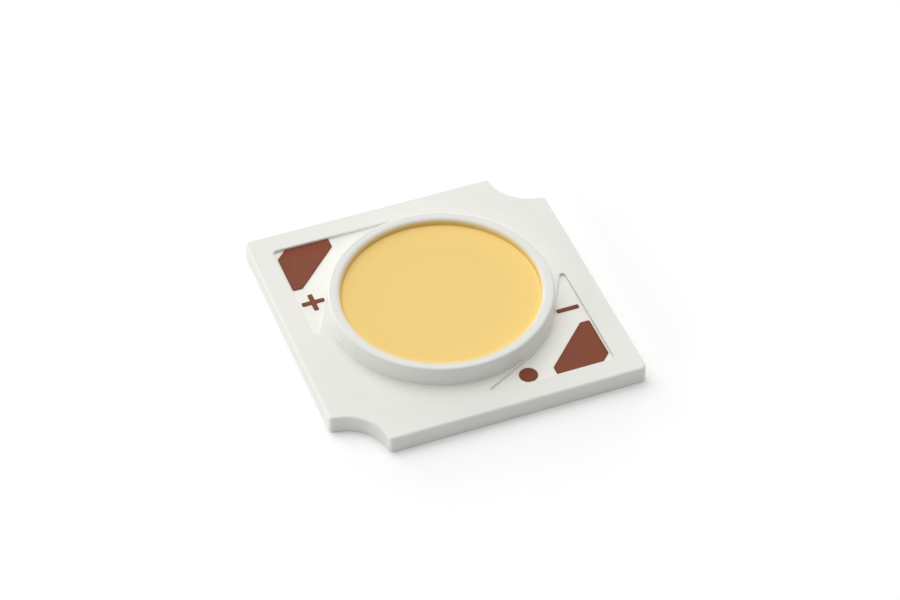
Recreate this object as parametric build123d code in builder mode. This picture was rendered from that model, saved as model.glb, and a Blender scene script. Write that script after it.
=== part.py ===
from build123d import *

import os
from math import acos, asin, cos, degrees, radians, sin, sqrt

# A chip-on-board LED. The origin is the middle of the underside, +Z points the way the light
# leaves, and all sizes are in millimetres. The screw notches are at the front left and back
# right corners, the + side at the back left corner and the - side at the front right one.

# Ring round the light-emitting area
les_radius = 6.06
dam_wall = 0.86
dam_height = 1.25
rim_edge_bevel = 0.13
dam_foot_width = 0.4

# Square ceramic plate, and how far it reaches past the ring
plate_border = 2.58
substrate_thickness = 0.95
square_corner_radius = 0.4
notch_radius = 2.75
notch_end_radius = 0.25

# White layer printed on the plate
coat_thickness = 0.19
coat_edge_radius = 0.13
window_margin = 1.45
window_corner_radius = 0.25
window_tip_radius = 0.13
window_lip_bevel = 0.05
window_flank_angle = 27.0
window_dam_gap = 0.07

# Phosphor silicone
fill_depth_below_rim = 0.45
wetting_film = 0.03
film_depth_below_rim = 0.2

# Copper on the ceramic
copper_thickness = 0.05
land_depth = 0.34
bus_under_dam = 0.3
land_end_margin = 0.2
track_width = 0.6
track_window_gap = 0.35
link_tip_gap = 0.1

# Solder pads, one in each window, reaching from its outer corner to short of the test point
pad_tip_width = 0.61
pad_wall_gap = 0.12
pad_chamfer = 0.55
pad_corner_radius = 0.12

# Copper marks, one in each window, as long as the window is wide there less a gap at each end
mark_stroke = 0.3
mark_end_gap = 0.13
mark_pad_distance = 1.37

# Round copper test point in the window of the - side
point_diameter = 1.13
point_wall_gap = 0.105
point_flank_gap = 0.26
point_pad_gap = 1.125

# Blue chips, set in strings along X, and the adhesive bed under each
string_count = 8
chips_per_string = 9
chip_width = 0.5
chip_height = 0.15
chip_gap = 0.23
chip_land_gap = 0.25
attach_thickness = 0.02

# Bond wires, drawn square in section and as wide as the round wire
wire_size = 0.03
bond_inset = 0.1
loop_height = 0.18
loop_lean = 0.06

# Heights
coat_top = substrate_thickness + coat_thickness
copper_top = substrate_thickness + copper_thickness
chip_seat = substrate_thickness + attach_thickness
chip_top = chip_seat + chip_height
rim_height = coat_top + dam_height
fill_height = rim_height - fill_depth_below_rim
film_height = rim_height - film_depth_below_rim

# Radii about the middle
dam_outer_radius = les_radius + dam_wall
coat_opening_radius = les_radius + dam_foot_width
window_inner_radius = dam_outer_radius + window_dam_gap
bus_inner_radius = les_radius - land_depth
bus_outer_radius = les_radius + bus_under_dam
bond_circle_radius = les_radius - land_depth / 2
chip_field_radius = bus_inner_radius - chip_land_gap

# Distances from the middle to the plate's edge, the straight walls of the windows and the tracks
plate_side = 2 * (dam_outer_radius + plate_border)
window_edge = plate_side / 2 - window_margin
track_outer = window_edge + track_window_gap + track_width

# Where a window's flank, which touches its inner arc, would meet its straight side in a point
flank_run = radians(window_flank_angle)
sharp_tip = (window_edge * cos(flank_run) - window_inner_radius) / sin(flank_run)

# The link from a track to its bus stands just past that tip, and its foot is on the bus
link_left = sharp_tip + link_tip_gap
link_right = link_left + track_width
bus_middle_radius = (bus_inner_radius + bus_outer_radius) / 2
link_foot = sqrt(bus_middle_radius**2 - ((link_left + link_right) / 2) ** 2)

# The test point lies between the window's straight side and its flank, and the pad beside it
point_radius = point_diameter / 2
point_y = window_edge - point_wall_gap - point_radius
flank_to_point = window_inner_radius + point_flank_gap + point_radius
point_x = (point_y * cos(flank_run) - flank_to_point) / sin(flank_run)
pad_side = window_edge - pad_wall_gap
pad_tip = point_pad_gap + point_radius - point_x
pad_tip_end = pad_side - pad_tip_width

# A mark lies between the window's straight side and the flank at the mark's narrow end
mark_y = pad_tip - mark_pad_distance
flank_beside_mark = (window_inner_radius - (mark_y - mark_stroke / 2) * sin(flank_run)) / cos(flank_run)
mark_length = window_edge - flank_beside_mark - 2 * mark_end_gap
mark_x = (window_edge + flank_beside_mark) / 2

# The outermost strings are as short as their chips allow, and the rest are spread between them
shortest_string = chips_per_string * chip_width + (chips_per_string - 1) * chip_gap
outer_string_y = sqrt(chip_field_radius**2 - (shortest_string / 2) ** 2) - chip_width / 2
string_pitch = 2 * outer_string_y / (string_count - 1)

# The curved bus runs from the link round to past the far end of the outermost string
bus_start_angle = degrees(acos(link_right / bus_inner_radius))
bus_end_angle = 180 + degrees(asin((outer_string_y + land_end_margin) / bus_inner_radius))

copper_plane = Plane.XY.offset(substrate_thickness)
opposite_copper_plane = copper_plane.rotated((0, 0, 180))


def string_y(index):
    """Y of a string of chips, counted from the front."""
    return -outer_string_y + index * string_pitch


def chip_centres(y):
    """X of each chip in the string at this Y: the string is as long as the circle is wide."""
    end = sqrt(chip_field_radius**2 - (abs(y) + chip_width / 2) ** 2) - chip_width / 2
    step = 2 * end / (chips_per_string - 1)
    return [-end + chip * step for chip in range(chips_per_string)]


def wire_feet(y):
    """The two feet of each wire of a string, as (x, z), from the + bus to the - bus."""
    reach = chip_width / 2 - bond_inset
    land = sqrt(bond_circle_radius**2 - y**2)
    left_feet = [(-land, copper_top)]
    right_feet = []
    for x in chip_centres(y):
        right_feet.append((x - reach, chip_top))
        left_feet.append((x + reach, chip_top))
    right_feet.append((land, copper_top))
    return list(zip(left_feet, right_feet))


# Outline of the plate: a square with two rounded corners and two quarter-round notches
with BuildSketch() as plate_outline:
    Rectangle(plate_side, plate_side)
    square_corners = plate_outline.vertices().sort_by(lambda v: v.X * v.Y)[:2]
    fillet(square_corners, radius=square_corner_radius)
    with Locations((-plate_side / 2, -plate_side / 2), (plate_side / 2, plate_side / 2)):
        Circle(notch_radius, mode=Mode.SUBTRACT)
    notch_ends = plate_outline.vertices().sort_by(lambda v: v.X * v.Y)[-4:]
    fillet(notch_ends, radius=notch_end_radius)

# Outline of the left window: two straight sides, and an arc round the ring with two flanks
with BuildSketch() as window_outline:
    with BuildLine():
        arc_start = 90 + window_flank_angle
        arc_sweep = 90 - 2 * window_flank_angle
        inner_arc = CenterArc((0, 0), window_inner_radius, arc_start, arc_sweep)
        Polyline(
            inner_arc @ 1,
            (-window_edge, -sharp_tip),
            (-window_edge, window_edge),
            (sharp_tip, window_edge),
            inner_arc @ 0,
        )
    make_face()
    outer_corner = window_outline.vertices().sort_by(lambda v: v.X - v.Y)[:1]
    fillet(outer_corner, radius=window_corner_radius)
    lower_tip = window_outline.vertices().sort_by(Axis.Y)[:1]
    fillet(lower_tip, radius=window_tip_radius)
    upper_tip = window_outline.vertices().sort_by(Axis.X)[-1:]
    fillet(upper_tip, radius=window_tip_radius)

# Outline of one copper circuit: the pad, the track along the plate's edge, the link past the
# window's tip and the bus under the ring
with BuildSketch() as circuit_outline:
    Polygon(
        (-pad_side, pad_tip),
        (-pad_tip_end, pad_tip),
        (-pad_tip, pad_tip_end),
        (-pad_tip, track_outer),
        (-pad_side + pad_chamfer + pad_wall_gap, track_outer),
        (-pad_side + pad_chamfer + pad_wall_gap, window_edge),
        (-pad_side, pad_side - pad_chamfer),
        align=None,
    )
    fillet(circuit_outline.vertices(), radius=pad_corner_radius)
    with BuildLine():
        Polyline(
            (-pad_tip - track_width, track_outer - track_width),
            (link_left, track_outer - track_width),
            (link_left, link_foot),
            (link_right, link_foot),
            (link_right, track_outer),
            (-pad_tip - track_width, track_outer),
            close=True,
        )
    make_face()
    with BuildLine():
        bus_sweep = bus_end_angle - bus_start_angle
        bus_inside = CenterArc((0, 0), bus_inner_radius, bus_start_angle, bus_sweep)
        bus_outside = CenterArc((0, 0), bus_outer_radius, bus_start_angle, bus_sweep)
        Line(bus_inside @ 0, bus_outside @ 0)
        Line(bus_inside @ 1, bus_outside @ 1)
    make_face()

# White ceramic plate
with BuildPart() as substrate:
    with BuildSketch():
        add(plate_outline.sketch)
    extrude(amount=substrate_thickness)
substrate.part.label = "substrate"

# Copper circuit of the + side
with BuildPart() as anode_circuit:
    with BuildSketch(copper_plane):
        add(circuit_outline.sketch)
    extrude(amount=copper_thickness)
anode_circuit.part.label = "anode_circuit"

# Copper circuit of the - side, the same turned half way round
with BuildPart() as cathode_circuit:
    with BuildSketch(opposite_copper_plane):
        add(circuit_outline.sketch)
    extrude(amount=copper_thickness)
cathode_circuit.part.label = "cathode_circuit"

# Copper polarity marks
with BuildPart() as plus_mark:
    with BuildSketch(copper_plane):
        with Locations((-mark_x, mark_y)):
            Rectangle(mark_length, mark_stroke)
            Rectangle(mark_stroke, mark_length)
    extrude(amount=copper_thickness)
plus_mark.part.label = "plus_mark"

with BuildPart() as minus_mark:
    with BuildSketch(opposite_copper_plane):
        with Locations((-mark_x, mark_y)):
            Rectangle(mark_length, mark_stroke)
    extrude(amount=copper_thickness)
minus_mark.part.label = "minus_mark"

# Copper test point for a temperature probe
with BuildPart() as temperature_point:
    with BuildSketch(opposite_copper_plane):
        with Locations((point_x, point_y)):
            Circle(point_radius)
    extrude(amount=copper_thickness)
temperature_point.part.label = "temperature_point"

# White top layer, moulded over the copper, open over the pads and the light-emitting area
with BuildPart() as top_coat:
    with BuildSketch(copper_plane):
        add(plate_outline.sketch)
    extrude(amount=coat_thickness)
    fillet(top_coat.faces().sort_by(Axis.Z)[-1].edges(), radius=coat_edge_radius)
    with BuildSketch(copper_plane):
        with PolarLocations(0, 2):
            add(window_outline.sketch)
    extrude(amount=coat_thickness, mode=Mode.SUBTRACT)
    window_lips = top_coat.edges(Select.LAST).group_by(Axis.Z)[-1]
    chamfer(window_lips, length=window_lip_bevel)
    with BuildSketch(copper_plane):
        Circle(coat_opening_radius)
    extrude(amount=coat_thickness, mode=Mode.SUBTRACT)
    add(anode_circuit.part, mode=Mode.SUBTRACT)
    add(cathode_circuit.part, mode=Mode.SUBTRACT)
top_coat.part.label = "top_coat"

# White silicone ring: its foot steps down over the coat's edge to the ceramic and the buses
with BuildPart() as dam_ring:
    with BuildSketch(Plane.XZ) as dam_section:
        Polygon(
            (les_radius, substrate_thickness),
            (coat_opening_radius, substrate_thickness),
            (coat_opening_radius, coat_top),
            (dam_outer_radius, coat_top),
            (dam_outer_radius, rim_height),
            (les_radius, rim_height),
            align=None,
        )
        rim_corners = dam_section.vertices().group_by(Axis.Y)[-1]
        chamfer(rim_corners, length=rim_edge_bevel)
    revolve(axis=Axis.Z)
    add(anode_circuit.part, mode=Mode.SUBTRACT)
    add(cathode_circuit.part, mode=Mode.SUBTRACT)
dam_ring.part.label = "dam_ring"

# Adhesive bed under every chip
chip_places = [(x, string_y(row)) for row in range(string_count) for x in chip_centres(string_y(row))]
with BuildPart() as die_attach:
    with BuildSketch(copper_plane):
        with Locations(*chip_places):
            Rectangle(chip_width, chip_width)
    extrude(amount=attach_thickness)
die_attach.part.label = "die_attach"

# Strings of blue chips
led_strings = []
for row in range(string_count):
    with BuildPart() as led_string:
        with BuildSketch(Plane.XY.offset(chip_seat)):
            with Locations(*[(x, string_y(row)) for x in chip_centres(string_y(row))]):
                Rectangle(chip_width, chip_width)
        extrude(amount=chip_height)
    led_string.part.label = f"led_string_{row + 1}"
    led_strings.append(led_string.part)

# Bond wires of each string: steeply up from the first foot, and down in one slope to the second
wire_strings = []
for row in range(string_count):
    with BuildPart() as bond_wires:
        with BuildSketch(Plane.XZ.offset(-string_y(row))):
            for (left, left_z), (right, right_z) in wire_feet(string_y(row)):
                peak = left + loop_lean
                peak_z = chip_top + loop_height
                slope_foot = wire_size * sqrt(1 + ((right - peak) / (peak_z - right_z)) ** 2)
                Polygon(
                    (left - wire_size / 2, left_z),
                    (left + wire_size / 2, left_z),
                    (peak + wire_size / 2, peak_z),
                    (right - slope_foot, right_z),
                    (right, right_z),
                    (peak, peak_z + wire_size),
                    align=None,
                )
        extrude(amount=wire_size / 2, both=True)
    bond_wires.part.label = f"bond_wires_{row + 1}"
    wire_strings.append(bond_wires.part)

# Phosphor silicone, poured round the chips and wires, with a thin film up the ring's wall
with BuildPart() as phosphor_fill:
    with BuildSketch(Plane.XZ):
        Polygon(
            (0, substrate_thickness),
            (les_radius, substrate_thickness),
            (les_radius, film_height),
            (les_radius - wetting_film, film_height),
            (les_radius - wetting_film, fill_height),
            (0, fill_height),
            align=None,
        )
    revolve(axis=Axis.Z)
    add(anode_circuit.part, mode=Mode.SUBTRACT)
    add(cathode_circuit.part, mode=Mode.SUBTRACT)
    add(die_attach.part, mode=Mode.SUBTRACT)
    add(led_strings, mode=Mode.SUBTRACT)
    add(wire_strings, mode=Mode.SUBTRACT)
phosphor_fill.part.label = "phosphor_fill"

pieces = [
    substrate.part,
    top_coat.part,
    anode_circuit.part,
    cathode_circuit.part,
    plus_mark.part,
    minus_mark.part,
    temperature_point.part,
    dam_ring.part,
    phosphor_fill.part,
    die_attach.part,
    *led_strings,
    *wire_strings,
]
os.makedirs("parts", exist_ok=True)
for piece in pieces:
    export_step(piece, f"parts/{piece.label}.step")
print("strings", string_count, "pitch", round(string_pitch, 3), "height", round(rim_height, 3))
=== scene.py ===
# %% [markdown]
# A chip-on-board LED, dressed for a close look.
# The measured solids of the part already exist: a ceramic plate, a printed white coat, copper
# pads, a silicone ring and the phosphor it holds. They have true sizes but plain surfaces.
# This lesson keeps every size and gives each piece its finish: rounded edges that catch light,
# colour that varies a little, and a surface you could feel with a fingernail.
# All lengths in Blender are metres. The whole part is only 19 millimetres wide, so we name a
# millimetre once and write every size with it.

# %% Load the measured solids
import math

import bmesh
import bpy
from mathutils import Matrix, Vector


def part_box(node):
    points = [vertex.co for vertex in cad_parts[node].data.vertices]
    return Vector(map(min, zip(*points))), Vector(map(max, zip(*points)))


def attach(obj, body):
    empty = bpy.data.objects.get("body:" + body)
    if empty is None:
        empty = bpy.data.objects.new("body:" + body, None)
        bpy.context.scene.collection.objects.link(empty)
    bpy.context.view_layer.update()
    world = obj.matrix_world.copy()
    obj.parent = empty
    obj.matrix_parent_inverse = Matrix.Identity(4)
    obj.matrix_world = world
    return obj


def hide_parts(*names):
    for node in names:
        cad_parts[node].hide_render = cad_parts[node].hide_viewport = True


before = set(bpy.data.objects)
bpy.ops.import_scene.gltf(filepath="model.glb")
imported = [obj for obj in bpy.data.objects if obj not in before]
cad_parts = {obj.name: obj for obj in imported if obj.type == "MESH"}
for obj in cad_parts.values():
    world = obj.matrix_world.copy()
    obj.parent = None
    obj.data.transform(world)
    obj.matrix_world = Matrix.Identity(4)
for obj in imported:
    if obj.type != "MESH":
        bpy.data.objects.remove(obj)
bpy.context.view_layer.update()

mm = 0.001

# %% [markdown]
# The camera comes first, because it decides how fine the detail has to be.
# The photograph looks from the front left, about 45 degrees down, through a long lens, so the
# far edge of the plate is nearly as long as the near one. We place the camera, aim it at a
# point on the table close to the middle of the part, and roll it by half a degree.
# `to_track_quat` turns a direction into a rotation: a Blender camera looks along its own -Z.

# %% Camera
camera_place = Vector((-41.949, -113.854, 119.818)) * mm
camera_aim = Vector((0.999, 1.151, 0.0)) * mm
camera_roll = math.radians(-0.482)

camera_data = bpy.data.cameras.new("camera")
camera_data.lens = 112.0
camera_data.sensor_width = 36.0
camera_data.clip_start = 10 * mm
camera_data.clip_end = 5.0
camera = bpy.data.objects.new("camera", camera_data)
bpy.context.scene.collection.objects.link(camera)
aimed = (camera_aim - camera_place).to_track_quat("-Z", "Y").to_matrix()
rolled = aimed @ Matrix.Rotation(camera_roll, 3, "Z")
camera.matrix_world = Matrix.Translation(camera_place) @ rolled.to_4x4()
bpy.context.scene.camera = camera
print("camera distance in mm", round((camera_aim - camera_place).length / mm, 1))

# %% [markdown]
# Heights and radii are not typed in again. If the part is made thicker, the finish below
# follows it.

# %% Heights and radii, read from the solids
plate_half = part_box("substrate")[1].x
ceramic_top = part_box("substrate")[1].z
coat_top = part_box("top_coat")[1].z
copper_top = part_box("plus_mark")[1].z
rim_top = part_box("dam_ring")[1].z
ring_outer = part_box("dam_ring")[1].x
ring_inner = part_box("phosphor_fill")[1].x
print("coat, rim and ring in mm", [round(x / mm, 3) for x in (coat_top, rim_top, ring_outer)])

# %% [markdown]
# Most pieces of this part are flat shapes with a height: the plate, the coat, the copper.
# Each starts as an outline, a closed list of points that runs anticlockwise.
# Real outlines have no sharp corners. A cutter, a laser or an etching bath always leaves a
# small radius, so `rounded` takes corners with a radius each and puts a tangent arc on them.
# The arc's centre lies on the line that halves the corner.

# %% Outlines with rounded corners
arc_step = math.radians(4)


def arc(centre, radius, start, end):
    """Points along an arc, from one angle to another."""
    count = max(2, round(abs(end - start) / arc_step))
    angles = [start + (end - start) * i / count for i in range(count + 1)]
    return [Vector(centre) + radius * Vector((math.cos(a), math.sin(a))) for a in angles]


def rounded(corners):
    """An outline through corners given as (x, y, radius). A corner of no radius stays a point."""
    points = []
    for i, (x, y, radius) in enumerate(corners):
        corner = Vector((x, y))
        if radius == 0:
            points.append(corner)
            continue
        back = (Vector(corners[i - 1][:2]) - corner).normalized()
        ahead = (Vector(corners[(i + 1) % len(corners)][:2]) - corner).normalized()
        half = back.angle(ahead) / 2
        centre = corner + (back + ahead).normalized() * radius / math.sin(half)
        first = corner + back * radius / math.tan(half) - centre
        last = corner + ahead * radius / math.tan(half) - centre
        start = math.atan2(first.y, first.x)
        turn = first.angle_signed(last)
        points += arc(centre, radius, start, start - turn)
    return points


print("points on a rounded square", len(rounded([(0, 0, 1), (9, 0, 1), (9, 9, 1), (0, 9, 1)])))

# %% [markdown]
# To round an edge we need the same outline again, a little smaller and a little higher.
# `inset` moves each point inwards along the line that halves its corner. A negative distance
# grows the outline, which is what the lip of a hole needs.

# %% Moving an outline inwards


def inset(outline, distance):
    """The outline moved inwards by a distance, or outwards if it is negative."""
    moved = []
    for i, point in enumerate(outline):
        arriving = (point - outline[i - 1]).normalized()
        leaving = (outline[(i + 1) % len(outline)] - point).normalized()
        inward = Vector((-leaving.y, leaving.x))
        halfway = (inward + Vector((-arriving.y, arriving.x))).normalized()
        moved.append(point + halfway * distance / halfway.dot(inward))
    return moved


sample = [Vector(corner) for corner in ((0, 0), (4, 0), (4, 4), (0, 4))]
smaller = inset(sample, 1)
print("a square of side 4, moved in by 1, has a side of", round(smaller[1].x - smaller[0].x, 3))

# %% [markdown]
# A piece is built from such outlines, stacked like the layers of a map. `loft` turns each
# outline into a ring of vertices and joins every ring to the next with four-sided faces.
# `close` fills the flat area between rings, and leaves the inner ones open as holes.
# `edge_profile` is the quarter round of an edge, as pairs of inset and height. Its last pair
# lies a little further in on the flat, so the vertices there look straight up and the big
# face keeps an even shade.

# %% Building a piece from stacked outlines


def loft(bm, layers):
    """Joins outlines, given as (outline, height), ring by ring. Returns the rings."""
    rings = [[bm.verts.new((p.x, p.y, z)) for p in outline] for outline, z in layers]
    for lower, upper in zip(rings, rings[1:]):
        for i in range(len(lower)):
            bm.faces.new((lower[i - 1], lower[i], upper[i], upper[i - 1]))
    return rings


def close(bm, rings, up=1):
    """Fills the flat area between rings of vertices."""
    edges = [bm.edges.get((ring[i - 1], ring[i])) for ring in rings for i in range(len(ring))]
    bmesh.ops.triangle_fill(bm, edges=edges, use_beauty=True, normal=(0, 0, up))


def edge_profile(radius, top, steps=6, margin=0.05 * mm):
    """A quarter round under a flat top, as (inset, height) from the wall to the top."""
    turns = [math.pi / 2 * i / steps for i in range(steps + 1)]
    pairs = [(radius * (1 - math.cos(a)), top - radius * (1 - math.sin(a))) for a in turns]
    return pairs + [(radius + margin, top)]


print("a quarter round of radius 1 in two steps", edge_profile(1.0, 5.0, 2, 0.5))

# %% [markdown]
# Rings, discs and domes are turned, not stacked. `lathe` takes half of a section, as pairs of
# radius and height, and spins it round the middle. It merges the points that meet on the axis.

# %% Turning a piece on a lathe
lathe_steps = 240
merge_distance = 0.0002 * mm


def lathe(bm, section):
    """Spins a section of (radius, height) points once round the upright axis."""
    verts = [bm.verts.new((r, 0, z)) for r, z in section]
    edges = [bm.edges.new(pair) for pair in zip(verts, verts[1:])]
    bmesh.ops.spin(
        bm,
        geom=verts + edges,
        cent=(0, 0, 0),
        axis=(0, 0, 1),
        angle=math.tau,
        steps=lathe_steps,
        use_merge=True,
    )
    bmesh.ops.remove_doubles(bm, verts=bm.verts, dist=merge_distance)


print("degrees between two turned points", 360 / lathe_steps)

# %% [markdown]
# Every piece ends the same way. Its faces are turned outwards and shaded smooth, edges sharper
# than 40 degrees are marked so that they stay crisp, and a Weighted Normal modifier lets the
# big flat faces decide how the light runs over them. Without it a rounded edge would smear its
# shading across the flat area beside it.
# Then the piece is hung on the body it rides on, and the solids it stands for are hidden.

# %% Finishing a piece
crisp_angle = math.radians(40)


def make_piece(name, bm, materials, slot, *stands_for):
    """Makes an object from a bmesh, and lets it stand for solids of the part."""
    bmesh.ops.recalc_face_normals(bm, faces=bm.faces)
    for face in bm.faces:
        face.smooth = True
    for edge in bm.edges:
        edge.smooth = len(edge.link_faces) == 2 and edge.calc_face_angle() < crisp_angle
    mesh = bpy.data.meshes.new(name)
    bm.to_mesh(mesh)
    bm.free()
    for material in materials:
        mesh.materials.append(material)
    piece = bpy.data.objects.new(name, mesh)
    bpy.context.scene.collection.objects.link(piece)
    weighted = piece.modifiers.new("weighted_normals", "WEIGHTED_NORMAL")
    weighted.keep_sharp = True
    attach(piece, "root")
    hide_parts(*stands_for)
    print(name, "faces", len(mesh.polygons))


print("edges stay crisp from this angle in degrees", round(math.degrees(crisp_angle)))

# %% [markdown]
# Now the finishes. A procedural material is a small recipe of noises.
# `new_finish` makes a Principled surface, `noise_over` lays a noise over the piece, and
# `spread` turns it into values between any two that we want.
# The widths are real: a noise scale of 1 / width gives features about that wide, because
# object coordinates here are metres.

# %% A finish and its noises
even = (1, 1, 1)
noise_detail = 3.0
noise_low = 0.3
noise_high = 0.7


def new_finish(name, colour, roughness):
    """A new material with a Principled surface of one colour."""
    material = bpy.data.materials.new(name)
    material.use_nodes = True
    surface = material.node_tree.nodes["Principled BSDF"]
    surface.inputs["Base Color"].default_value = (*colour, 1)
    surface.inputs["Roughness"].default_value = roughness
    return material, surface


def noise_over(material, width, stretch=even):
    """A noise with features of this width, in metres, stretched along an axis if wanted."""
    nodes, links = material.node_tree.nodes, material.node_tree.links
    place = nodes.new("ShaderNodeTexCoord")
    mapping = nodes.new("ShaderNodeMapping")
    mapping.inputs["Scale"].default_value = [1 / (width * s) for s in stretch]
    noise = nodes.new("ShaderNodeTexNoise")
    noise.inputs["Scale"].default_value = 1.0
    noise.inputs["Detail"].default_value = noise_detail
    links.new(place.outputs["Object"], mapping.inputs["Vector"])
    links.new(mapping.outputs["Vector"], noise.inputs["Vector"])
    return noise.outputs["Fac"]


def spread(material, value, low, high):
    """Brings the middle range of a noise, where nearly all of it lies, to low and high."""
    nodes, links = material.node_tree.nodes, material.node_tree.links
    remap = nodes.new("ShaderNodeMapRange")
    ends = {"From Min": noise_low, "From Max": noise_high, "To Min": low, "To Max": high}
    for name, end in ends.items():
        remap.inputs[name].default_value = end
    links.new(value, remap.inputs["Value"])
    return remap.outputs["Result"]


print("noise scale for features a tenth of a millimetre wide", round(1 / (0.1 * mm)))

# %% [markdown]
# `mottle` lets the colour drift between two close shades.
# Where a colour has to follow the shape instead, the mesh carries a number on each vertex. The
# material reads it by its name, and Blender fades it between the vertices. `blend_by_number`
# does that.

# %% Colour


def blend_colours(material, share, first, second):
    """A colour between two, each a colour or a socket. A share below 0 or above 1 goes beyond."""
    nodes, links = material.node_tree.nodes, material.node_tree.links
    mix = nodes.new("ShaderNodeMix")
    mix.data_type = "RGBA"
    mix.clamp_factor = False
    links.new(share, mix.inputs["Factor"])
    for socket, colour in ((mix.inputs[6], first), (mix.inputs[7], second)):
        if isinstance(colour, bpy.types.NodeSocket):
            links.new(colour, socket)
        else:
            socket.default_value = (*colour, 1)
    return mix.outputs[2]


def blend_by_number(material, surface, name, at_zero, at_one):
    """Colours the surface between two shades by a number that the mesh carries."""
    number = material.node_tree.nodes.new("ShaderNodeAttribute")
    number.attribute_name = name
    colour = blend_colours(material, number.outputs["Fac"], at_zero, at_one)
    material.node_tree.links.new(colour, surface.inputs["Base Color"])
    return colour


def mottle(material, surface, width, first, second):
    """Lets the colour drift between two shades."""
    share = spread(material, noise_over(material, width), 0, 1)
    colour = blend_colours(material, share, first, second)
    material.node_tree.links.new(colour, surface.inputs["Base Color"])
    return colour


print("helpers for colour", [helper.__name__ for helper in (mottle, blend_by_number)])

# %% [markdown]
# Colour alone looks like paint on glass. `roughen` lets the gloss vary, and `relief` adds bumps
# of a given width and height. They are far too small to change the size of a piece.

# %% Gloss and relief


def roughen(material, surface, width, low, high):
    """Lets the roughness vary between two values."""
    value = spread(material, noise_over(material, width), low, high)
    material.node_tree.links.new(value, surface.inputs["Roughness"])


def relief(material, surface, layers):
    """Bumps, as (width, height, stretch) in metres. Each layer rides on the one before."""
    nodes, links = material.node_tree.nodes, material.node_tree.links
    normal = None
    for width, height, stretch in layers:
        bump = nodes.new("ShaderNodeBump")
        bump.inputs["Distance"].default_value = height
        links.new(noise_over(material, width, stretch), bump.inputs["Height"])
        if normal is not None:
            links.new(normal, bump.inputs["Normal"])
        normal = bump.outputs["Normal"]
    links.new(normal, surface.inputs["Normal"])


print("helpers for gloss and relief", [helper.__name__ for helper in (roughen, relief)])

# %% [markdown]
# The plate is fired alumina, a dense white ceramic. Its broad faces are ground flat and look
# like fine chalk. Its sides are cut by laser and broken out, which leaves faint upright lines
# and a slightly greyer tone, partly from the cut and partly painted shade on upright faces, so
# the plate wears two finishes and the faces choose by which way they look.

# %% Ceramic finishes


def ground_ceramic():
    """The flat faces of the plate: bright white with a fine grain."""
    material, surface = new_finish("ground_ceramic", (0.83, 0.83, 0.775), 0.6)
    mottle(material, surface, 0.35 * mm, (0.82, 0.82, 0.765), (0.842, 0.842, 0.788))
    roughen(material, surface, 0.2 * mm, 0.5, 0.7)
    relief(material, surface, [(0.06 * mm, 0.0006 * mm, even), (0.9 * mm, 0.002 * mm, even)])
    return material


def cut_ceramic_with_painted_shade():
    """The laser-cut sides of the plate: faint upright lines, and a greyer tone that is partly
    painted shade.
    """
    # Painted shade, in part: the sides are greyer than the flat faces.
    material, surface = new_finish("cut_ceramic_with_painted_shade", (0.74, 0.745, 0.705), 0.65)
    mottle(material, surface, 0.4 * mm, (0.73, 0.735, 0.695), (0.75, 0.755, 0.715))
    roughen(material, surface, 0.1 * mm, 0.55, 0.75)
    upright = (1, 1, 20)
    relief(material, surface, [(0.05 * mm, 0.0012 * mm, upright), (0.1 * mm, 0.0008 * mm, even)])
    return material


plate_finishes = [ground_ceramic(), cut_ceramic_with_painted_shade()]
print("finishes of the plate", [finish.name for finish in plate_finishes])

# %% [markdown]
# The plate's outline is a square with four different jobs at its corners. Two corners are
# plain and get a small radius. The two that lie opposite each other are bitten out by a
# quarter circle, where the head of a fixing screw sits. Where a notch meets a straight side
# there is a little radius again, and its centre has to be found: it lies one small radius
# inside the side, and one small radius outside the notch's own circle.
# We make half of the outline and turn it half way round for the rest.

# %% Outline of the plate
notch_radius = 2.75 * mm
notch_end_radius = 0.25 * mm
square_corner_radius = 0.4 * mm


def plate_half_outline():
    """From the notch at the front left, along the front, to the top of the right side."""
    notch = Vector((-plate_half, -plate_half))
    reach = math.sqrt(notch_radius**2 + 2 * notch_radius * notch_end_radius)
    swing = math.atan2(notch_end_radius, reach)
    low_end = notch + Vector((reach, notch_end_radius))
    high_end = notch + Vector((notch_end_radius, reach))
    quarter = math.pi / 2
    points = arc(high_end, notch_end_radius, math.pi, math.pi + quarter + swing)
    points += arc(notch, notch_radius, quarter - swing, swing)[1:-1]
    points += arc(low_end, notch_end_radius, math.pi + swing, math.pi + quarter)
    square = Vector((plate_half - square_corner_radius, -plate_half + square_corner_radius))
    points += arc(square, square_corner_radius, -quarter, 0)
    return points


half_outline = plate_half_outline()
plate_outline = half_outline + [-point for point in half_outline]
print("points round the plate", len(plate_outline))

# %% [markdown]
# The ceramic plate itself is a stack of outlines. Ground ceramic keeps quite a sharp edge, so
# the lower one only gets a few hundredths of a millimetre of rounding. The upper one stays
# square, because the printed coat sits flush on it.

# %% Ceramic plate
plate_edge_radius = 0.03 * mm


def ceramic_plate():
    """The plate, standing for the solid of the same shape."""
    bm = bmesh.new()
    lower_edge = [(inset_by, -height) for inset_by, height in edge_profile(plate_edge_radius, 0, 3)]
    layers = [(inset(plate_outline, d), z) for d, z in reversed(lower_edge)]
    rings = loft(bm, layers + [(plate_outline, ceramic_top)])
    close(bm, rings[:1], -1)
    close(bm, rings[-1:])
    bm.normal_update()
    for face in bm.faces:
        # Upright faces take the greyer finish, which is partly painted shade.
        face.material_index = 0 if abs(face.normal.z) > 0.5 else 1
    make_piece("ceramic_plate", bm, plate_finishes, "ceramic", "substrate")


ceramic_plate()

# %% [markdown]
# A white reflective coat is printed over the ceramic and its copper tracks. It leaves two
# three-cornered windows open over the solder pads, and a round opening in the middle.
# A window has two straight walls beside the plate's edge, and its third side bends round the
# ring as an arc with a straight flank at each end. The flanks touch the arc, so their
# directions follow from one angle, and the sharp points where they would meet the straight
# walls can be worked out and then rounded.
# Copper and coat are printed before the plate is cut out, and never land quite in its middle.
# In the photograph both lie a few hundredths of a millimetre to the left.

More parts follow.
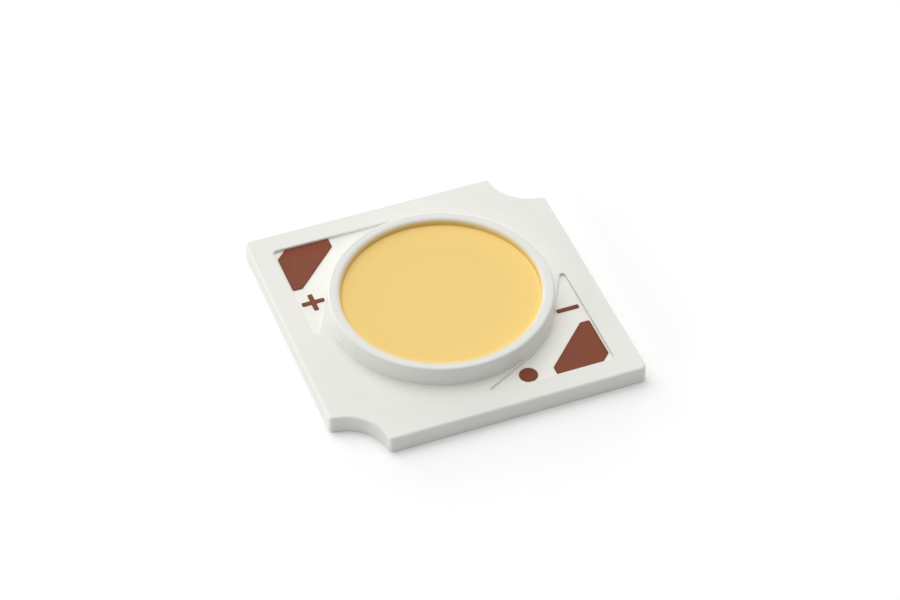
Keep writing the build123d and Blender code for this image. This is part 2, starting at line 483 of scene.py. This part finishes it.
# %% Outline of a window
window_margin = 1.45 * mm
window_ring_gap = 0.07 * mm
window_flank = math.radians(27)
window_corner_radius = 0.25 * mm
window_tip_radius = 0.19 * mm
print_offset = Vector((-0.07, -0.02)) * mm
window_edge = plate_half - window_margin
window_arc_radius = ring_outer + window_ring_gap
sharp_tip = (window_edge * math.cos(window_flank) - window_arc_radius) / math.sin(window_flank)


def window_outline():
    """The window at the back left, anticlockwise."""
    quarter = math.pi / 2
    bend = arc((0, 0), window_arc_radius, quarter + window_flank, math.pi - window_flank)
    corners = [
        (sharp_tip, window_edge, window_tip_radius),
        *[(point.x, point.y, 0) for point in bend],
        (-window_edge, -sharp_tip, window_tip_radius),
        (-window_edge, window_edge, window_corner_radius),
    ]
    return rounded(list(reversed(corners)))


def as_printed(outline):
    """The outline where the print really landed on the plate."""
    return [point + print_offset for point in outline]


even_window = window_outline()
left_window = as_printed(even_window)
right_window = as_printed([-point for point in even_window])
print("tip of the window in mm", round(sharp_tip / mm, 3))

# %% [markdown]
# The coat is a thick print, so its outer edge is softly rounded and the lips of its windows
# are too, only less. It is white all over and matt, with the faint unevenness that a squeegee
# and an oven leave.
# The top is one flat area with three holes in it. We loft the outer edge and the wall of each
# hole, then fill what lies between their top rings.

# %% Printed coat
coat_edge_radius = 0.15 * mm
window_lip_radius = 0.05 * mm
ring_foot_width = 0.4 * mm
coat_opening_radius = ring_inner + ring_foot_width


def printed_white():
    """The printed coat: a matt white with a slight warm cast."""
    material, surface = new_finish("printed_white", (0.75, 0.745, 0.70), 0.55)
    mottle(material, surface, 1.2 * mm, (0.745, 0.74, 0.695), (0.758, 0.752, 0.708))
    roughen(material, surface, 0.3 * mm, 0.45, 0.6)
    relief(material, surface, [(0.05 * mm, 0.0005 * mm, even), (0.7 * mm, 0.0015 * mm, even)])
    return material


def hole_wall(bm, outline, lip):
    """The wall of a hole, from the ceramic up to its rounded lip."""
    lip_layers = [(inset(outline, -d), z) for d, z in edge_profile(lip, coat_top, 4)]
    return loft(bm, [(outline, ceramic_top)] + lip_layers)


def white_coat():
    """The coat, standing for the solid of the same shape."""
    bm = bmesh.new()
    profile = edge_profile(coat_edge_radius, coat_top)
    edge_layers = [(inset(plate_outline, d), z) for d, z in profile]
    outer = loft(bm, [(plate_outline, ceramic_top)] + edge_layers)
    opening = arc((0, 0), coat_opening_radius, 0, math.tau)[:-1]
    walls = [hole_wall(bm, w, window_lip_radius) for w in (left_window, right_window)]
    walls.append(hole_wall(bm, opening, window_lip_radius))
    close(bm, [outer[-1]] + [wall[-1] for wall in walls])
    close(bm, [outer[0]] + [wall[0] for wall in walls], -1)
    make_piece("white_coat", bm, [printed_white()], "white_coat", "top_coat")


white_coat()

# %% [markdown]
# The copper is etched from one foil: on each side a solder pad, a track that runs under the
# coat to the ring, and a curved bus under the ring where the wires land. Only the pad shows.
# Etching eats sideways too, so the upper edge of the copper is slightly rounded. The bare
# metal has gone dull and brown in the oven, and a little darker along its edges.

# %% Finish of the copper


def oven_brown_copper():
    """Bare copper after the oven: brown, nearly matt, with a fine rolling grain."""
    material, surface = new_finish("oven_brown_copper", (0.186, 0.040, 0.0125), 0.6)
    brown = mottle(material, surface, 0.5 * mm, (0.179, 0.038, 0.0115), (0.193, 0.042, 0.0135))
    blend_by_number(material, surface, "near_edge", brown, (0.12, 0.027, 0.011))
    surface.inputs["Specular IOR Level"].default_value = 0.25
    roughen(material, surface, 0.15 * mm, 0.5, 0.7)
    relief(material, surface, [(0.03 * mm, 0.0006 * mm, (12, 1, 1)), (0.1 * mm, 0.0006 * mm, even)])
    return material


copper_finish = oven_brown_copper()
print("finish of the copper", copper_finish.name)

# %% [markdown]
# The number that darkens the copper's edge is `near_edge`. It is 1 on the wall and on the
# rounding, and 0 a twentieth of a millimetre further in.

# %% Etching a copper shape
etch_radius = 0.015 * mm
edge_band = 0.06 * mm


def etched(name, outline, stands_for):
    """A copper shape with a rounded upper edge, standing for a solid of the part."""
    bm = bmesh.new()
    near_edge = bm.verts.layers.float.new("near_edge")
    profile = edge_profile(etch_radius, copper_top, 3, edge_band - etch_radius)
    rings = loft(bm, [(outline, ceramic_top)] + [(inset(outline, d), z) for d, z in profile])
    for ring in rings[:-1]:
        for vert in ring:
            vert[near_edge] = 1.0
    close(bm, rings[:1], -1)
    close(bm, rings[-1:])
    make_piece(name, bm, [copper_finish], "copper", stands_for)


print("width of the darker edge in mm", round(edge_band / mm, 3))

# %% [markdown]
# One circuit is a single closed outline: round the pad, along the track, down the link to the
# ring, along the outside of the bus, across its end and back along its inside.
# The circuit of the other side is the same one turned half way round.

# %% The two circuits
pad_wall_gap = 0.12 * mm
pad_tip = 4.42 * mm
pad_tip_width = 0.61 * mm
pad_chamfer = 0.55 * mm
pad_corner_radius = 0.12 * mm
track_width = 0.6 * mm
track_window_gap = 0.35 * mm
link_tip_gap = 0.1 * mm
bus_before_ring = 0.34 * mm
bus_under_ring = 0.3 * mm

pad_side = window_edge - pad_wall_gap
pad_tip_end = pad_side - pad_tip_width
pad_chamfer_x = -pad_side + pad_chamfer + pad_wall_gap
pad_chamfer_y = pad_side - pad_chamfer
track_inner = window_edge + track_window_gap
track_outer = track_inner + track_width
link_left = sharp_tip + link_tip_gap
link_right = link_left + track_width
bus_inner = ring_inner - bus_before_ring
bus_outer = ring_inner + bus_under_ring
bus_start = math.acos(link_right / bus_inner)
bus_end = math.pi - math.asin(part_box("anode_circuit")[0].y / bus_outer)


def circuit_outline():
    """The circuit of the + side, anticlockwise from the pad's lower corner."""
    pad = [
        (-pad_side, pad_tip, pad_corner_radius),
        (-pad_tip_end, pad_tip, pad_corner_radius),
        (-pad_tip, pad_tip_end, pad_corner_radius),
        (-pad_tip, track_inner, 0),
        (link_left, track_inner, 0),
    ]
    link_start = math.acos(link_left / bus_outer)
    link_end = math.acos(link_right / bus_outer)
    bus = arc((0, 0), bus_outer, link_start, bus_end) + arc((0, 0), bus_inner, bus_end, bus_start)
    bus += arc((0, 0), bus_outer, bus_start, link_end)
    back = [
        (link_right, track_outer, 0),
        (pad_chamfer_x, track_outer, 0),
        (pad_chamfer_x, window_edge, 0),
        (-pad_side, pad_chamfer_y, pad_corner_radius),
    ]
    return rounded(pad + [(point.x, point.y, 0) for point in bus] + back)


plus_side = circuit_outline()
minus_side = [-point for point in plus_side]
etched("plus_circuit", as_printed(plus_side), "anode_circuit")
etched("minus_circuit", as_printed(minus_side), "cathode_circuit")

# %% [markdown]
# The polarity marks and the round test point are cut from the same foil. Their sizes and
# places are read from the solids. The photograph shows both marks a tenth of a millimetre
# nearer to the ring than the solids have them, so a small shift puts them there. The test point
# stays exactly where its solid is. A plus is one outline of twelve corners, not two crossed
# bars, because etched copper has no seam.

# %% Marks and test point
mark_corner_radius = 0.07 * mm


def bar_outline(low, high):
    """A bar between two corners."""
    corners = [(low.x, low.y), (high.x, low.y), (high.x, high.y), (low.x, high.y)]
    return rounded([(x, y, mark_corner_radius) for x, y in corners])


def plus_outline(low, high, stroke):
    """A plus that fills a square, with strokes of one width."""
    middle = (low + high) / 2
    reach, half = (high.x - low.x) / 2, stroke / 2
    arm = [(half, -half), (reach, -half), (reach, half)]
    corners = []
    for turn in range(4):
        for x, y in arm:
            x, y = [(x, y), (-y, x), (-x, -y), (y, -x)][turn]
            corners.append((middle.x + x, middle.y + y, mark_corner_radius))
    return rounded(corners)


mark_shift = Vector((0.11 * mm, 0, 0))
minus_low, minus_high = [corner - mark_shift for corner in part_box("minus_mark")]
plus_low, plus_high = [corner + mark_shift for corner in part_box("plus_mark")]
point_low, point_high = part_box("temperature_point")
point_middle = (point_low + point_high) / 2
point_outline = arc(point_middle.xy, point_high.x - point_middle.x, 0, math.tau)[:-1]
stroke = minus_high.y - minus_low.y
etched("minus_sign", as_printed(bar_outline(minus_low, minus_high)), "minus_mark")
etched("plus_sign", as_printed(plus_outline(plus_low, plus_high, stroke)), "plus_mark")
etched("test_point", point_outline, "temperature_point")

# %% [markdown]
# The ring is a bead of white silicone, laid down by a needle that runs once round. It dams the
# phosphor in while that is still liquid.
# Phosphor creeps over the ring's inner edge and thins out there from yellow to white. Part of
# that yellow is painted light, the yellow light that the phosphor throws onto the silicone, and
# it reaches further out at the front left than at the back. Ring and phosphor both carry a
# number, `whiteness`, worked out by the same rule, so the colour runs on across the seam between
# them.

# %% Where the phosphor thins out on the ring, with painted yellow light
inner_shoulder = 0.3 * mm
# Painted light: the yellow fade reaches further at the front than at the back.
fade_at_the_back = (0.06 * mm, 0.42 * mm)
fade_at_the_front = (0.29 * mm, 0.68 * mm)
front_left_side = math.radians(245)
front_left_way = Vector((math.cos(front_left_side), math.sin(front_left_side)))


def whiteness(place):
    """0 where the silicone is yellow and 1 where it is white, by the way over the inner edge. The
    yellow is partly phosphor and partly painted light, which reaches further at the front left.
    """
    beyond = place.xy.length - ring_inner - inner_shoulder
    climb = min(1, max(0, (place.z - rim_top) / inner_shoulder + 1))
    way = inner_shoulder * (math.asin(climb) if beyond < 0 else math.pi / 2) + max(0, beyond)
    # Painted yellow light: the fade moves outwards on the front left side.
    facing_front_left = max(0, place.xy.normalized().dot(front_left_way))
    start, end = [a + (b - a) * facing_front_left for a, b in zip(fade_at_the_back, fade_at_the_front)]
    share = min(1, max(0, (way - start) / (end - start)))
    return share * share * (3 - 2 * share)


def write_number(bm, name, rule):
    """Keeps a number on every vertex, worked out from its place by a rule."""
    layer = bm.verts.layers.float.new(name)
    for vert in bm.verts:
        vert[layer] = rule(vert.co)


ring_crest = Vector((-ring_outer, 0, rim_top))
print("whiteness on the ring's outer edge", whiteness(ring_crest))

# %% [markdown]
# Silicone flows before it cures, so the ring's upper edges are round, the inner one twice as
# much as the outer one, and the outer wall leans in a little from its foot. Inside, a foot
# steps down over the coat's edge to the ceramic. A lathe needs only the section: we list it
# once round, and the spin does the rest. A few extra points on the flat top let the colour fade
# evenly there.
# The white is nearly as pale as the coat and more satin, because the ring isn't printed. Real
# silicone lets some light through, which a plain white surface doesn't, so its shaded places
# stay paler than ours would. A second number paints that light on the outer wall as a paler
# white: painted light.

# %% Silicone ring
outer_shoulder = 0.14 * mm
wall_lean = 0.07 * mm
crest_step = 0.05 * mm
silicone_white = (0.71, 0.71, 0.68)
# Painted light: the paler white that the shaded outer wall is given.
painted_lit_white = (0.77, 0.77, 0.735)
phosphor_yellow = (0.80, 0.56, 0.160)


def ring_painted_light(place):
    """Painted light: grows over the outer shoulder from 0 on the ring's top to 1 on its wall."""
    if place.xy.length < (ring_inner + ring_outer) / 2:
        return 0
    return min(1, (rim_top - place.z) / outer_shoulder)


def dam_white():
    """White silicone: satin, a trace cooler than the coat, with painted light on its outer wall."""
    material, surface = new_finish("dam_white", silicone_white, 0.4)
    pale = mottle(material, surface, 1.5 * mm, (0.705, 0.705, 0.675), (0.716, 0.716, 0.686))
    # Painted light: the outer wall is blended to a paler white.
    white = blend_by_number(material, surface, "painted_light_and_film_tone", pale, painted_lit_white)
    # Yellow at the inner edge: partly phosphor film, partly painted yellow light.
    blend_by_number(material, surface, "whiteness", phosphor_yellow, white)
    roughen(material, surface, 0.4 * mm, 0.32, 0.48)
    relief(material, surface, [(0.08 * mm, 0.0005 * mm, even), (1.1 * mm, 0.003 * mm, even)])
    return material


def silicone_ring():
    """The ring, standing for the solid of the same shape."""
    bm = bmesh.new()
    outer_edge = edge_profile(outer_shoulder, rim_top)
    inner_edge = edge_profile(inner_shoulder, rim_top, 10)
    outer_wall = ring_outer - wall_lean
    section = [(ring_inner, ceramic_top), (coat_opening_radius, ceramic_top)]
    section += [(coat_opening_radius, coat_top), (ring_outer, coat_top)]
    section += [(outer_wall - d, z) for d, z in outer_edge]
    section += [(ring_inner + inner_shoulder + i * crest_step, rim_top) for i in (5, 4, 3, 2)]
    section += [(ring_inner + d, z) for d, z in reversed(inner_edge)]
    section.append((ring_inner, ceramic_top))
    lathe(bm, section)
    write_number(bm, "whiteness", whiteness)
    write_number(bm, "painted_light_and_film_tone", ring_painted_light)
    make_piece("silicone_ring", bm, [dam_white()], "dam_silicone", "dam_ring")


silicone_ring()

# %% [markdown]
# The phosphor is a yellow powder stirred into clear silicone and poured into the ring. It
# hides the chips below completely. As a liquid it climbed the ring's wall, so the surface is
# flat in the middle, turns up at its edge and ends as a film on the ring's inner rounding.
# The curve of that edge is called a meniscus. An exponential describes it well: most of the
# climb happens in the last tenth of a millimetre.
# The ring shades the phosphor beside it. Real silicone would let some of the light through, so a
# second number paints light on the phosphor: it grows towards the wall, most at the back, where
# the shade falls. On the film that climbs the wall the number is negative, which darkens the film.

# %% Phosphor
fill_top = rim_top - 0.45 * mm
meniscus_height = 0.06 * mm
meniscus_reach = 0.12 * mm
meniscus_steps = 12
pool_steps = 24
film_thickness = 0.03 * mm
film_end = math.radians(80)
film_steps = 10
film_foot = fill_top + 0.9 * meniscus_height
film_darkening = -1.0
# Painted light on the phosphor: how far from the wall it reaches, and how much goes all round and
# to the back.
painted_light_reach = 2.2 * mm
painted_light_all_round = 0.5
painted_light_to_the_back = 0.45
painted_lit_yellow = (0.91, 0.64, 0.187)


def phosphor_painted_light_and_film_tone(place):
    """Painted light that grows towards the wall, most at the back, and a negative value on the
    film, which darkens it.
    """
    if place.z >= film_foot:
        return film_darkening
    nearness = max(0, 1 - (ring_inner - place.xy.length) / painted_light_reach)
    to_the_back = -place.xy.normalized().dot(front_left_way)
    return nearness * (painted_light_all_round + painted_light_to_the_back * to_the_back)


def yellow_phosphor():
    """Phosphor powder in silicone: warm yellow, satin, finely grained, with painted light near the
    wall.
    """
    material, surface = new_finish("yellow_phosphor", phosphor_yellow, 0.5)
    grain = mottle(material, surface, 0.05 * mm, (0.785, 0.545, 0.147), (0.815, 0.575, 0.173))
    # Painted light: a brighter yellow towards the wall, where the ring's shade falls, and a darker
    # film.
    yellow = blend_by_number(material, surface, "painted_light_and_film_tone", grain, painted_lit_yellow)
    # The film fades to white: partly the phosphor thinning out, partly painted yellow light.
    blend_by_number(material, surface, "whiteness", yellow, silicone_white)
    roughen(material, surface, 0.3 * mm, 0.42, 0.58)
    relief(material, surface, [(0.04 * mm, 0.0008 * mm, even), (1.6 * mm, 0.003 * mm, even)])
    return material


def over_the_edge(turn, thickness):
    """A point on the ring's inner rounding, 0 where the wall ends, lifted by a thickness."""
    reach = inner_shoulder + thickness
    middle = ring_inner + inner_shoulder
    return middle - reach * math.cos(turn), rim_top - inner_shoulder + reach * math.sin(turn)


def phosphor_section():
    """Half of the section, from the middle of the top round to the middle of the underside."""
    edge = ring_inner - film_thickness
    reach, rise = meniscus_reach, meniscus_height
    radii = [edge * i / pool_steps for i in range(pool_steps - 1)]
    radii += [edge - 4 * reach * (1 - i / meniscus_steps) ** 2 for i in range(meniscus_steps + 1)]
    surface = [(r, fill_top + rise * math.exp((r - edge) / reach)) for r in radii]
    turns = [film_end * i / film_steps for i in range(film_steps + 1)]
    film = [over_the_edge(a, film_thickness * (1 - a / film_end)) for a in turns]
    back = [over_the_edge(a, 0) for a in reversed(turns[:-1])]
    return surface + film + back + [(ring_inner, ceramic_top), (0, ceramic_top)]


def phosphor_pool():
    """The poured phosphor, standing for the solid of the same shape."""
    bm = bmesh.new()
    lathe(bm, phosphor_section())
    write_number(bm, "whiteness", whiteness)
    write_number(bm, "painted_light_and_film_tone", phosphor_painted_light_and_film_tone)
    finishes = [yellow_phosphor()]
    make_piece("phosphor_pool", bm, finishes, "phosphor_silicone", "phosphor_fill")


phosphor_pool()

# %% [markdown]
# Under the phosphor the part is alive: eight strings of nine blue chips, each on a bed of
# adhesive, joined by gold wires finer than a hair. Nobody sees them in the finished part, but
# they are what it is, and anyone who hides the phosphor finds them there.
# The chips keep their solids and get a material. Sapphire looks like pale grey-blue glass.

# %% Chips and their beds


def blue_sapphire():
    """The chips: pale blue-grey crystal, smooth and glossy."""
    material, surface = new_finish("blue_sapphire", (0.30, 0.36, 0.48), 0.12)
    mottle(material, surface, 0.12 * mm, (0.26, 0.32, 0.45), (0.34, 0.40, 0.52))
    roughen(material, surface, 0.08 * mm, 0.08, 0.2)
    relief(material, surface, [(0.02 * mm, 0.0002 * mm, even)])
    return material


def die_bond():
    """The adhesive under each chip: white and slightly lumpy."""
    material, surface = new_finish("die_bond", (0.74, 0.74, 0.70), 0.5)
    mottle(material, surface, 0.1 * mm, (0.70, 0.70, 0.66), (0.78, 0.78, 0.74))
    roughen(material, surface, 0.1 * mm, 0.4, 0.6)
    relief(material, surface, [(0.05 * mm, 0.001 * mm, even)])
    return material


def dress(node, material):
    """Puts a material on a solid that keeps its own shape."""
    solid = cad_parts[node]
    solid.data.materials.clear()
    solid.data.materials.append(material)


strings = sorted(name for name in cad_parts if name.startswith("led_string_"))
sapphire = blue_sapphire()
for name in strings:
    dress(name, sapphire)
dress("die_attach", die_bond())
print("strings of chips", len(strings))

# %% [markdown]
# The bond wires are drawn from pure gold, because gold stays soft, never tarnishes and welds to
# a chip with a push and some ultrasound. Drawing leaves fine lines along the wire, so the noise
# of its relief is stretched along it.

# %% Gold wires


def drawn_gold():
    """Bond wire: drawn gold with fine lengthwise lines."""
    material, surface = new_finish("drawn_gold", (0.83, 0.58, 0.25), 0.25)
    mottle(material, surface, 0.06 * mm, (0.80, 0.55, 0.23), (0.86, 0.61, 0.28))
    surface.inputs["Metallic"].default_value = 1.0
    roughen(material, surface, 0.04 * mm, 0.18, 0.32)
    relief(material, surface, [(0.006 * mm, 0.0001 * mm, (20, 1, 1))])
    return material


gold = drawn_gold()
wires = sorted(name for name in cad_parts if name.startswith("bond_wires_"))
for name in wires:
    dress(name, gold)
print("strings of wires", len(wires))

# %% [markdown]
# The stage is a white table that has no end. Its colour is plain white to the camera and in
# reflections, where a real photographer would have lit it to pure white, while the light that
# it throws back at the part stays that of ordinary white paper. Light Path tells the shader
# which kind of ray is asking. The table still darkens where the part keeps the light away.

# %% Table
table_half = 1.5
table_gap = 0.01 * mm


def seen_ray(tree):
    """1 for a ray that ends in a picture: from the camera, in a reflection or through glass."""
    path = tree.nodes.new("ShaderNodeLightPath")
    total = path.outputs["Is Camera Ray"]
    for kind in ("Is Glossy Ray", "Is Transmission Ray"):
        either = tree.nodes.new("ShaderNodeMath")
        either.operation = "MAXIMUM"
        tree.links.new(total, either.inputs[0])
        tree.links.new(path.outputs[kind], either.inputs[1])
        total = either.outputs[0]
    return total


def table_finish():
    """White to the camera, paper to the part, and invisible from below."""
    material = bpy.data.materials.new("white_table")
    material.use_nodes = True
    nodes, links = material.node_tree.nodes, material.node_tree.links
    nodes.remove(nodes["Principled BSDF"])
    side = nodes.new("ShaderNodeNewGeometry")
    seen = nodes.new("ShaderNodeBsdfDiffuse")
    seen.inputs["Color"].default_value = (1.0, 1.0, 1.0, 1)
    paper = nodes.new("ShaderNodeBsdfDiffuse")
    paper.inputs["Color"].default_value = (0.9, 0.9, 0.9, 1)
    below = nodes.new("ShaderNodeBsdfTransparent")
    by_ray = nodes.new("ShaderNodeMixShader")
    by_side = nodes.new("ShaderNodeMixShader")
    links.new(seen_ray(material.node_tree), by_ray.inputs[0])
    links.new(paper.outputs[0], by_ray.inputs[1])
    links.new(seen.outputs[0], by_ray.inputs[2])
    links.new(side.outputs["Backfacing"], by_side.inputs[0])
    links.new(by_ray.outputs[0], by_side.inputs[1])
    links.new(below.outputs[0], by_side.inputs[2])
    links.new(by_side.outputs[0], nodes["Material Output"].inputs["Surface"])
    return material


def white_table():
    """A large flat table, a hair below the part."""
    bm = bmesh.new()
    corners = [(-1, -1), (1, -1), (1, 1), (-1, 1)]
    bm.faces.new([bm.verts.new((x * table_half, y * table_half, -table_gap)) for x, y in corners])
    mesh = bpy.data.meshes.new("table")
    bm.to_mesh(mesh)
    bm.free()
    mesh.materials.append(table_finish())
    table = bpy.data.objects.new("table", mesh)
    bpy.context.scene.collection.objects.link(table)


white_table()
print("side of the table in metres", 2 * table_half)

# %% [markdown]
# The light is soft. The largest share comes from high up and from behind the part, so its front
# sides are in shade and the shadows fall towards us. Low lamps behind and to the left stand in
# for the bright walls of a studio: they light upright faces, and hardly touch flat ones.
# A sun in Blender is a direction with an angle, and a large angle is a large soft lamp. It
# lights the table evenly out to its edges, which a lamp near the part wouldn't.
# The strengths are set so that a white sheet lying flat receives just enough to look white.

# %% Light
sky_strength = 0.05


def soft_sun(name, azimuth, elevation, angle, strength):
    """A broad lamp. Azimuth 0 is at +X and 90 at +Y, and strength is the light it throws."""
    data = bpy.data.lights.new(name, "SUN")
    data.angle = math.radians(angle)
    data.energy = strength
    lamp = bpy.data.objects.new(name, data)
    bpy.context.scene.collection.objects.link(lamp)
    a, e = math.radians(azimuth), math.radians(elevation)
    towards = Vector((math.cos(a) * math.cos(e), math.sin(a) * math.cos(e), math.sin(e)))
    lamp.matrix_world = (-towards).to_track_quat("-Z", "Y").to_matrix().to_4x4()


def pale_sky():
    """A sky that is white to the camera and pale to the part."""
    world = bpy.data.worlds.new("pale_sky")
    bpy.context.scene.world = world
    world.use_nodes = True
    nodes, links = world.node_tree.nodes, world.node_tree.links
    light = nodes["Background"]
    light.inputs["Color"].default_value = (1, 1, 1, 1)
    light.inputs["Strength"].default_value = sky_strength
    seen = nodes.new("ShaderNodeBackground")
    seen.inputs["Strength"].default_value = 1.0
    mix = nodes.new("ShaderNodeMixShader")
    links.new(seen_ray(world.node_tree), mix.inputs[0])
    links.new(light.outputs[0], mix.inputs[1])
    links.new(seen.outputs[0], mix.inputs[2])
    links.new(mix.outputs[0], nodes["World Output"].inputs["Surface"])


pale_sky()
lamps = [
    ("key_from_behind", 112, 55, 60, 1.55),
    ("ceiling", 0, 80, 60, 0.95),
    ("wall_behind", 110, 8, 30, 1.1),
    ("wall_behind_right", 60, 8, 30, 0.84),
    ("wall_behind_left", 160, 8, 30, 0.74),
    ("wall_at_the_left", 200, 8, 30, 0.79),
    ("fill_from_the_right", 0, 28, 50, 0.42),
    ("fill_from_the_front_right", 315, 28, 50, 0.3),
]
for name, azimuth, elevation, angle, strength in lamps:
    soft_sun(name, azimuth, elevation, angle, strength)
bpy.context.scene.view_settings.view_transform = "Standard"
from_lamps = sum(lamp[4] * math.sin(math.radians(lamp[2])) for lamp in lamps) / math.pi
print("brightness of a white sheet lying flat", round(from_lamps + sky_strength, 2))
